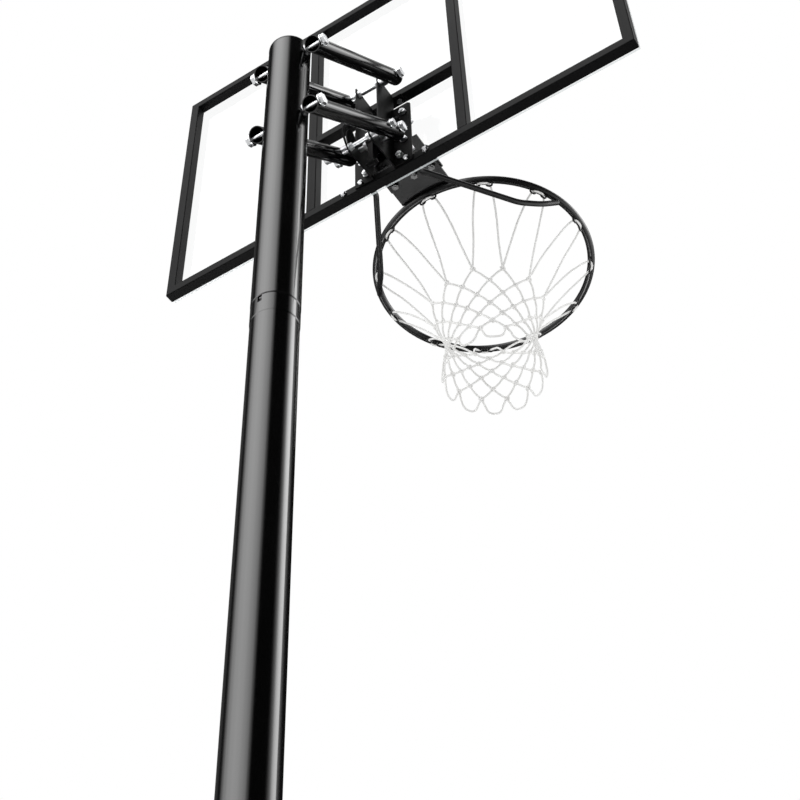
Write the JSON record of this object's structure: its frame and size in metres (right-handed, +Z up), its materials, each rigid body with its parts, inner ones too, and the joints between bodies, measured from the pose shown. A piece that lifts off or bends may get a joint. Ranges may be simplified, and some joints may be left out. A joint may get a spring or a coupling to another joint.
{
  "type": "portable basketball hoop",
  "caption": "Portable basketball hoop: wheeled ballast tank, round sectional pole, parallel arms that lower a framed clear board, braced ring and knotted net.",
  "frame": {"origin": "on the ground, under the axis of the pole", "axes": "+Z up along the pole, +Y from the pole towards the ring and the court, +X to the right seen from behind the board"},
  "size_m": [1.1044, 1.7696, 3.6482],
  "materials": {
    "moulded_black": "blow-moulded polyethylene with a fine grain",
    "cap_plastic": "moulded plastic, satin",
    "seal_rubber": "smooth",
    "wheel_plastic": "moulded plastic, scuffed tread",
    "plain_steel": "drawn",
    "zinc": "bright zinc plate",
    "pole_paint": "gloss black powder coat",
    "arm_paint": "semi-gloss black powder coat",
    "frame_paint": "satin charcoal powder coat",
    "ring_paint": "satin black powder coat",
    "clear_sheet": "clear polycarbonate",
    "net_cord": "braided white nylon cord"
  },
  "bodies": {
    "stand": {"base_tank": "moulded_black", "wheel_axle": "plain_steel", "axle_caps": "zinc", "pole_bottom": "pole_paint", "pole_middle": "pole_paint", "pole_top": "pole_paint", "pole_cap": "cap_plastic", "pole_base_bolt": "zinc", "strut_left": "arm_paint", "strut_right": "arm_paint", "strut_top_bolt": "zinc", "strut_foot_bolts": "zinc", "pole_pivot_bolt_upper": "zinc", "pole_pivot_bolt_lower": "zinc", "pole_pivot_nuts": "zinc", "pole_pivot_spacers": "plain_steel"},
    "fill_cap": {"fill_cap": "cap_plastic", "fill_cap_seal": "seal_rubber"},
    "wheel_left": {"wheel_left": "wheel_plastic"},
    "wheel_right": {"wheel_right": "wheel_plastic"},
    "upper_arms": {"upper_arm_left": "arm_paint", "upper_arm_right": "arm_paint"},
    "lower_arms": {"lower_arm_left": "arm_paint", "lower_arm_right": "arm_paint", "height_bolt": "zinc", "height_bolt_nuts": "zinc", "height_bolt_spacers": "plain_steel"},
    "board": {"front_pivot_bolt_upper": "zinc", "front_pivot_bolt_lower": "zinc", "front_pivot_nuts": "zinc", "front_pivot_spacers": "zinc", "side_bracket_left": "frame_paint", "side_bracket_right": "frame_paint", "bracket_bolts": "zinc", "frame_top_rail": "frame_paint", "frame_bottom_rail": "frame_paint", "frame_left_rail": "frame_paint", "frame_right_rail": "frame_paint", "upright_left": "frame_paint", "upright_right": "frame_paint", "crossbar": "frame_paint", "clear_panel": "clear_sheet", "frame_bolts": "plain_steel", "panel_bolts": "zinc", "panel_bolt_nuts": "zinc", "panel_bolt_spacers": "plain_steel", "rim_bracket": "ring_paint", "ring_tongue": "ring_paint", "tongue_bolts": "zinc", "rim_ring": "ring_paint", "rim_bolts": "ring_paint", "rim_bolt_nuts": "ring_paint", "rim_bolt_spacers": "plain_steel", "brace_left": "ring_paint", "brace_right": "ring_paint", "net_hooks": "ring_paint", "net": "net_cord"},
    "lock_lever": {"lock_lever": "frame_paint"}
  },
  "joints": [
    {"name": "arm_fold", "type": "hinge", "parent": "stand", "child": "upper_arms", "pos_m": [0, 0, 2.9], "axis": [1, 0, 0], "range_deg": [-88, 0]},
    {"name": "lower_arm_fold", "type": "hinge", "parent": "stand", "child": "lower_arms", "pos_m": [0, 0, 2.698], "axis": [1, 0, 0], "range_deg": [-88, 0]},
    {"name": "board_level", "type": "hinge", "parent": "upper_arms", "child": "board", "pos_m": [0, 0.27047, 3.16119], "axis": [1, 0, 0], "range_deg": [0, 88]},
    {"name": "lock_lever_swing", "type": "hinge", "parent": "board", "child": "lock_lever", "pos_m": [0, 0.27047, 2.95919], "axis": [1, 0, 0], "range_deg": [-20, 28]},
    {"name": "wheel_left_spin", "type": "hinge", "parent": "stand", "child": "wheel_left", "pos_m": [-0.314, 0.2, 0.068], "axis": [1, 0, 0], "continuous": true},
    {"name": "wheel_right_spin", "type": "hinge", "parent": "stand", "child": "wheel_right", "pos_m": [0.314, 0.2, 0.068], "axis": [1, 0, 0], "continuous": true},
    {"name": "fill_cap_turn", "type": "hinge", "parent": "stand", "child": "fill_cap", "pos_m": [0, -0.47, 0.156], "axis": [0, 0, 1], "range_deg": [0, 360]}
  ],
  "couplings": [
    {"joint": "lower_arm_fold", "follows": "arm_fold", "ratio": 1},
    {"joint": "board_level", "follows": "arm_fold", "ratio": -1}
  ]
}
